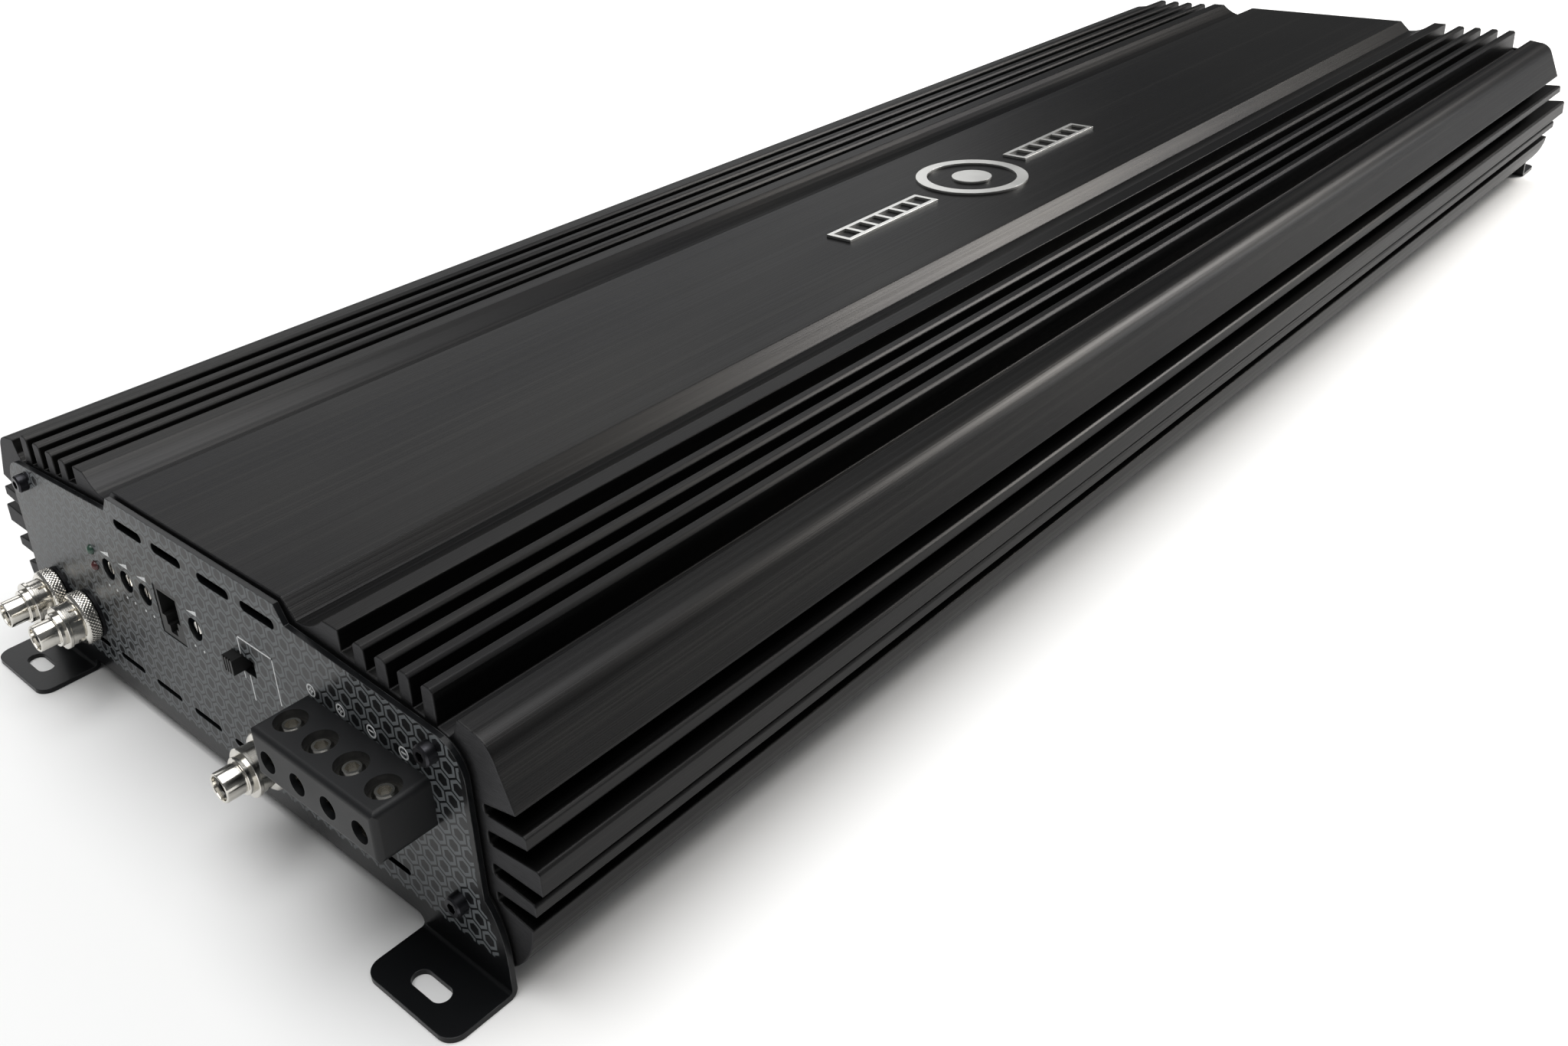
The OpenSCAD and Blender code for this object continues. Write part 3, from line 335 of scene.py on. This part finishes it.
def board(name):
    """Green solder mask over etched tracks, with the glass weave just showing."""
    f = Finish(name, (0.02, 0.10, 0.045), 0.3)
    bricks = f.tree.nodes.new("ShaderNodeTexBrick")
    f.join(f.place(60), bricks.inputs["Vector"])
    bricks.inputs["Mortar Size"].default_value = 0.06
    weave = f.noise(1400)
    tracks = bricks.outputs["Fac"]
    f.feed("Base Color", f.mix(tracks, (0.018, 0.095, 0.040), (0.010, 0.050, 0.022)))
    f.feed("Roughness", f.scale(weave, 0.22, 0.38))
    f.bump((tracks, 0.00006, 0.5), (weave, 0.00003, 0.3))
    return f.material


def drawn_metal(name, colour, roughness):
    """Bare drawn bar, its grain along Y."""
    f = Finish(name, colour, roughness, metallic=1.0)
    grain = f.noise(ALONG, 3.0)
    haze = f.noise(50, 3.0)
    f.feed("Base Color", f.mix(haze, shade(colour, 0.8), colour))
    f.feed("Roughness", f.scale(grain, roughness * 0.8, roughness * 1.3))
    f.bump((grain, 0.00005, 0.4))
    return f.material


def wound_wire(name):
    """Enamelled copper: turns side by side round each core, the creases between them painted dark as shade.
    """
    f = Finish(name, (0.42, 0.16, 0.055), 0.28, metallic=0.7)
    x, y, _ = f.axes(f.place())
    turns = f.math("SINE", f.math("MULTIPLY", f.math("ADD", x, y), WINDING))
    haze = f.noise(40, 3.0)
    wire = f.mix(haze, (0.40, 0.15, 0.05), (0.55, 0.23, 0.08))
    # the low part of the wave, between the turns, takes a dark brown: painted shade in the creases between
    # wires
    f.feed("Base Color", f.mix(f.step(turns, -0.9, 0.2), (0.12, 0.035, 0.012), wire))
    f.feed("Roughness", f.scale(haze, 0.2, 0.36))
    f.bump((turns, 0.0003, 0.6))
    return f.material


def lens(name, colour):
    """Unlit coloured lens of a lamp, slightly swirled."""
    f = Finish(name, colour, 0.16)
    swirl = f.noise(260)
    f.feed("Base Color", f.mix(swirl, shade(colour, 0.7), colour))
    f.feed("Roughness", f.scale(swirl, 0.1, 0.24))
    return f.material


def sleeve(name, colour):
    """Shrink sleeve round a can, whose bare metal top shows."""
    f = Finish(name, colour, 0.25)
    haze = f.noise(70)
    top = f.step(f.facing()[2], 0.7, 0.9)
    f.feed("Base Color", f.mix(top, f.mix(haze, colour, shade(colour, 1.3)), (0.5, 0.5, 0.5)))
    f.feed("Metallic", f.math("MULTIPLY", top, 0.9))
    f.feed("Roughness", f.scale(haze, 0.2, 0.35))
    f.bump((f.noise((300, 300, 40)), 0.0001, 0.2))
    return f.material


# the record's material slots: which recipe makes each, and with what
RECIPES = {
    "anodised_heatsink": (anodised,),
    "badge_metal": (cast_badge,),
    "black_sheet": (sheet_coat,),
    "panel_print": (printed_panel,),
    # the gasket sits in the shadowed gap between the end plates and the heatsink's ends; its near-black
    # colour is painted shade for that gap
    "gasket": (moulded, (0.004, 0.004, 0.004), 0.6, 0.8, 0.5),
    "black_screw": (plated, (0.045, 0.045, 0.05), 0.3),
    "terminal_plastic": (moulded, (0.006, 0.0063, 0.007)),
    "nickel": (plated, (0.75, 0.725, 0.67)),
    "jack_insulator": (moulded, (0.008, 0.008, 0.009), 0.2, 0.35, 0.1),
    "contact_gold": (plated, (0.83, 0.62, 0.28), 0.16),
    "jack_plastic": (moulded, (0.012, 0.012, 0.012), 0.35, 0.5, 0.25),
    "pot_plastic": (moulded, (0.03, 0.08, 0.18), 0.35, 0.5, 0.2),
    "green_lens": (lens, (0.035, 0.085, 0.058)),
    "red_lens": (lens, (0.095, 0.028, 0.028)),
    "circuit_board": (board,),
    "zinc": (plated, (0.66, 0.63, 0.52), 0.28),
    "capacitor_blue": (sleeve, (0.012, 0.03, 0.09)),
    "capacitor_black": (sleeve, (0.012, 0.012, 0.014)),
    "ferrite": (moulded, (0.07, 0.08, 0.055), 0.5, 0.7, 0.6),
    "copper_wire": (wound_wire,),
    "epoxy_case": (moulded, (0.010, 0.010, 0.011), 0.45, 0.6, 0.3),
    "thermal_pad": (moulded, (0.28, 0.38, 0.42), 0.6, 0.75, 0.4),
    "steel_bar": (drawn_metal, (0.55, 0.56, 0.57), 0.32),
    "copper_bar": (drawn_metal, (0.80, 0.42, 0.24), 0.28),
}
FINISHES = {slot: make(slot, *facts) for slot, (make, *facts) in RECIPES.items()}
INK = white_ink("white_ink")


def dress(node, material):
    """Gives a CAD node its finish."""
    mesh = NODES[node].data
    mesh.materials.clear()
    mesh.materials.append(material)


def soften(node, radius):
    """Rounds a CAD node's sharp edges."""
    weld = NODES[node].modifiers.new("weld", "WELD")
    weld.merge_threshold = 0.001 * MM
    bevel = NODES[node].modifiers.new("soft_edges", "BEVEL")
    bevel.limit_method = "ANGLE"
    bevel.angle_limit = math.radians(40)
    bevel.width = radius
    bevel.segments = 3


for part in frame["record"]["subparts"]:
    dress(part["node"], FINISHES[part["material_slot"]])
soften("badge", 0.35 * MM)


# ---------------------------------------------------------------- pieces

def add_piece(name, bm, material, smooth=None):
    """Makes a bmesh an object on the chassis; smooth is the sharpest angle shaded round, in degrees."""
    bmesh.ops.recalc_face_normals(bm, faces=bm.faces)
    mesh = bpy.data.meshes.new(name)
    bm.to_mesh(mesh)
    bm.free()
    if smooth is not None:
        mesh.shade_smooth()
        mesh.set_sharp_from_angle(angle=math.radians(smooth))
    mesh.materials.append(material)
    piece = bpy.data.objects.new(name, mesh)
    bpy.context.collection.objects.link(piece)
    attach(piece, "chassis")
    return piece


def lathe(bm, profile, around, ripple):
    """Turns (radius, distance) points about -Y from the origin; ripple(angle, i) adds to point i's radius."""
    rings = []
    for i, (radius, out) in enumerate(profile):
        ring = []
        for k in range(around):
            angle = 2 * math.pi * k / around
            r = radius + ripple(angle, i)
            ring.append(bm.verts.new((r * math.cos(angle), -out, r * math.sin(angle))))
        rings.append(ring)
    for a, b in zip(rings, rings[1:] + rings[:1]):
        for k in range(around):
            n = (k + 1) % around
            bm.faces.new((a[k], a[n], b[n], b[k]))


def jack_spots():
    """X of each jack's axis, and the height of them all, from the row of base rings."""
    low, high, mid = span("rca_rings")
    radius = (high.z - low.z) / 2
    left = low.x + radius
    return {"left": left, "right": left + JACK_PITCH, "link": high.x - radius}, mid.z


JACK_X, JACK_Z = jack_spots()


def jack_piece(name, x, profile, around, ripple, smooth):
    """A turned nickel piece of the jack at x."""
    bm = bmesh.new()
    lathe(bm, profile, around, ripple)
    bmesh.ops.translate(bm, verts=bm.verts, vec=(x, PANEL_FACE, JACK_Z))
    return add_piece(name, bm, FINISHES["nickel"], smooth=smooth)


def knurled_ring(name, x):
    """A jack's base ring, its rim cut with a fine diamond knurl."""
    low, high, _ = span("rca_rings")
    base, front = PANEL_FACE - high.y, PANEL_FACE - low.y
    radius = (high.z - low.z) / 2
    chamfer = 0.45 * MM
    depth = 0.26 * MM
    teeth, rows, around = 44, 14, 264
    start, end = base + chamfer, front - 1.5 * chamfer
    profile = [(JACK_ROOT, base), (radius - depth - chamfer, base), (radius - depth, start)]
    first = len(profile)
    for i in range(rows + 1):
        profile.append((radius - depth, start + (end - start) * i / rows))
    last = len(profile) - 1
    profile += [(radius - depth - 1.6 * chamfer, front), (JACK_ROOT, front)]
    lean = (end - start) / (2 * math.pi * radius) * teeth

    def ripple(angle, i):
        if not first < i < last:
            return 0
        along = lean * (i - first) / rows
        turn = teeth * angle / (2 * math.pi)
        ridges = (abs(2 * ((turn + side * along) % 1) - 1) for side in (-1, 1))
        return depth * min(1, 1.7 * min(ridges))

    return jack_piece(name, x, profile, around, ripple, 50)


def jack_shell(name, x):
    """Collar with spanner slots, flange, neck and barrel of a jack, every edge softly turned."""
    bore, collar_r, flange_r, neck_r, barrel_r = (r * MM for r in (3.35, 6.5, 6.9, 5.25, 4.15))
    soft = 0.18 * MM
    collar = PANEL_FACE - span("rca_rings")[0].y
    slot_end = collar + 2.2 * MM
    flange = collar + 3.8 * MM
    neck = flange + 1.2 * MM
    barrel = neck + 1.6 * MM
    tip = PANEL_FACE - span("rca_shells")[0].y
    root = [(bore, collar - 3 * MM), (JACK_ROOT, collar - 3 * MM), (JACK_ROOT, collar)]
    slotted = [(collar_r - soft, collar), (collar_r, collar + soft), (collar_r, slot_end)]
    profile = root + slotted + [
        (collar_r, slot_end + 0.1 * MM), (collar_r, flange),
        (flange_r - soft, flange), (flange_r, flange + soft),
        (flange_r, neck - soft), (flange_r - soft, neck),
        (neck_r, neck), (neck_r, barrel - soft), (neck_r - soft, barrel),
        (barrel_r + 0.15 * MM, barrel), (barrel_r, barrel + soft), (barrel_r, tip - 0.5 * MM),
        (barrel_r - 0.1 * MM, tip - 0.15 * MM), (barrel_r - 0.3 * MM, tip),
        (bore + 0.25 * MM, tip), (bore + 0.07 * MM, tip - 0.12 * MM), (bore, tip - 0.35 * MM)]
    slots, share, cut = 4, 0.34, 0.9 * MM      # spanner slots, their part of the turn, and how deep they are

    def ripple(angle, i):
        in_slot = abs((slots * angle / (2 * math.pi)) % 1 - 0.5) < share / 2
        return -cut if in_slot and len(root) <= i < len(root + slotted) else 0

    return jack_piece(name, x, profile, 144, ripple, 35)


for side, spot in JACK_X.items():
    ring_piece = knurled_ring("knurled_ring_" + side, spot)
    shell_piece = jack_shell("jack_shell_" + side, spot)
    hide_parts("rca_rings")
    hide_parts("rca_shells")


# white marks printed on the signal end's panel, in millimetres but for the ink's height
INK_H = 0.05 * MM
LINE = 0.42                     # width of a printed line
RING, RING_LINE = 1.78, 0.44    # radius and line of a ringed sign
SIGN = 0.7                      # half the length of a sign's bar
SIGN_LEFT, SIGN_UP = 2.9, 2.4   # from a terminal's screw, and from the block's top
DOT = 0.38                      # radius of an end dot
DOT_OUT, DOT_DOWN = 2.3, 6.2    # its place from the control's axis
WEDGE = 2.6                     # half the length of a wedge
WEDGE_LOW, WEDGE_HIGH = 5.0, 6.5        # its lower and upper edges above the control's axis


def slab(bm, outline):
    """A thin flat mark on the panel from (x, z) points in millimetres."""
    back = [bm.verts.new((x * MM, PANEL_FACE + INK_H / 2, z * MM)) for x, z in outline]
    front = [bm.verts.new((x * MM, PANEL_FACE - INK_H, z * MM)) for x, z in outline]
    count = len(outline)
    bm.faces.new(front)
    bm.faces.new(back[::-1])
    for k in range(count):
        n = (k + 1) % count
        bm.faces.new((front[k], back[k], back[n], front[n]))


def stroke(bm, a, b, width):
    """A straight line with square ends from a to b, longer by half its width at each end."""
    along = (Vector(b) - Vector(a)).normalized() * width / 2
    across = Vector((-along.y, along.x))
    start, end = Vector(a) - along, Vector(b) + along
    slab(bm, [start + across, start - across, end - across, end + across])


def disc(bm, middle, radius, sides=20):
    """A filled dot."""
    slab(bm, [(middle[0] + radius * math.cos(2 * math.pi * k / sides),
               middle[1] + radius * math.sin(2 * math.pi * k / sides)) for k in range(sides)])


def circle_mark(bm, middle, radius, width, sides=40):
    """A ring of the given outer radius, from short pieces side by side."""
    for k in range(sides):
        corners = []
        for r, step in ((radius, k), (radius, k + 1), (radius - width, k + 1), (radius - width, k)):
            angle = 2 * math.pi * step / sides
            corners.append((middle[0] + r * math.cos(angle), middle[1] + r * math.sin(angle)))
        slab(bm, corners)


def polarity_marks():
    """A ringed plus or minus above each speaker terminal."""
    bm = bmesh.new()
    top = span("speaker_block")[1].z / MM
    for k in range(4):
        screw = span("speaker_screw_%d" % (k + 1))[2].x / MM
        middle = (screw - SIGN_LEFT, top + SIGN_UP)
        circle_mark(bm, middle, RING, RING_LINE)
        stroke(bm, (middle[0] - SIGN, middle[1]), (middle[0] + SIGN, middle[1]), LINE)
        if k < 2:
            stroke(bm, (middle[0], middle[1] - SIGN), (middle[0], middle[1] + SIGN), LINE)
    return bm


def control_marks():
    """Two end dots under each control and a small rising wedge over it."""
    bm = bmesh.new()
    for node in ("gain_shaft", "subsonic_shaft", "bass_boost_shaft", "lowpass_shaft"):
        mid = span(node)[2] / MM
        for dx in (-DOT_OUT, DOT_OUT):
            disc(bm, (mid.x + dx, mid.z - DOT_DOWN), DOT)
        left, right = mid.x - WEDGE, mid.x + WEDGE
        slab(bm, [(left, mid.z + WEDGE_LOW), (right, mid.z + WEDGE_LOW), (right, mid.z + WEDGE_HIGH)])
    return bm


def switch_lines():
    """Thin lines above and below the switch, the longest down to the speaker block."""
    bm = bmesh.new()
    low, _, mid = span("slide_switch_knob")
    x, z = low.x / MM + 4.4, mid.z / MM
    rise, across, drop = 8, 15.8, 5.8
    to_block = [(x, z + 2.9), (x, z + rise), (x + across, z + rise), (x + across, z - drop)]
    short_tail = [(x - 0.2, z - 3.0), (x - 0.2, z - 4.6)]
    long_tail = [(x + 2.5, z - 3.0), (x + 2.5, z - 10.4)]
    for path in (to_block, short_tail, long_tail):
        for a, b in zip(path, path[1:]):
            stroke(bm, a, b, LINE)
    return bm


for draw in (polarity_marks, control_marks, switch_lines):
    add_piece(draw.__name__, draw(), INK)


# ---------------------------------------------------------------- camera, floor and light

def add_camera(place, turn, lens, shift):
    """The camera at a place in metres, turned by degrees about X, Y and Z."""
    data = bpy.data.cameras.new("camera")
    data.sensor_width = 36.0
    data.lens = lens
    data.shift_x, data.shift_y = shift
    data.clip_start = 0.01
    camera = bpy.data.objects.new("camera", data)
    camera.location = place
    camera.rotation_euler = [math.radians(angle) for angle in turn]
    bpy.context.collection.objects.link(camera)
    bpy.context.scene.camera = camera


def floor():
    """A plain pale floor, far larger than the object."""
    bm = bmesh.new()
    bmesh.ops.create_grid(bm, x_segments=1, y_segments=1, size=12)
    mesh = bpy.data.meshes.new("floor")
    bm.to_mesh(mesh)
    bm.free()
    f = Finish("floor", (0.88, 0.88, 0.875), 0.6, specular=0.2)
    paper = f.noise(30)
    f.feed("Roughness", f.scale(paper, 0.55, 0.7))
    mesh.materials.append(f.material)
    piece = bpy.data.objects.new("floor", mesh)
    piece.location.z = -FLOOR_GAP
    bpy.context.collection.objects.link(piece)


def softbox(name, place, target, size, power, colour=(1, 1, 1)):
    """A rectangular light at a place, facing a target."""
    data = bpy.data.lights.new(name, "AREA")
    data.shape = "RECTANGLE"
    data.size, data.size_y = size
    data.energy = power
    data.color = colour
    light = bpy.data.objects.new(name, data)
    light.location = place
    light.rotation_euler = (Vector(target) - Vector(place)).to_track_quat("-Z", "Y").to_euler()
    bpy.context.collection.objects.link(light)


def daylight(strength, spread):
    """Even soft light from straight above, over the whole floor."""
    data = bpy.data.lights.new("daylight", "SUN")
    data.energy = strength
    data.angle = math.radians(spread)
    light = bpy.data.objects.new("daylight", data)
    light.location = (0, 0, 3)
    bpy.context.collection.objects.link(light)


def room(dim, backdrop):
    """A dim room for the surfaces to reflect; the camera alone sees a pale backdrop past the floor."""
    world = bpy.data.worlds.new("studio")
    world.use_nodes = True
    nodes, links = world.node_tree.nodes, world.node_tree.links
    rays = nodes.new("ShaderNodeLightPath")
    level = nodes.new("ShaderNodeMapRange")
    level.inputs["To Min"].default_value = dim
    level.inputs["To Max"].default_value = backdrop
    links.new(rays.outputs["Is Camera Ray"], level.inputs["Value"])
    background = nodes["Background"]
    background.inputs["Color"].default_value = (0.97, 0.985, 1.0, 1)
    links.new(level.outputs["Result"], background.inputs["Strength"])
    bpy.context.scene.world = world


add_camera(place=(0.31464, -0.49155, 0.25915), turn=(64.082, 3.642, 43.302), lens=33.43,
           shift=(0.0668, -0.0755))
floor()
room(dim=0.15, backdrop=0.93)
daylight(strength=2.9, spread=62)
softbox("key", place=(0.42, 0.87, 0.71), target=(0.05, -0.05, 0.07), size=(0.46, 0.30), power=8.2,
        colour=(1.0, 0.965, 0.92))
softbox("side_strip", place=(0.80, 1.10, 0.36), target=(0.1, 0, 0.07), size=(0.5, 0.3), power=2.6)
softbox("fill", place=(-1.20, 0.50, 0.75), target=(0, 0, 0.07), size=(1.9, 0.7), power=5.4)
bpy.context.scene.view_settings.view_transform = "Standard"
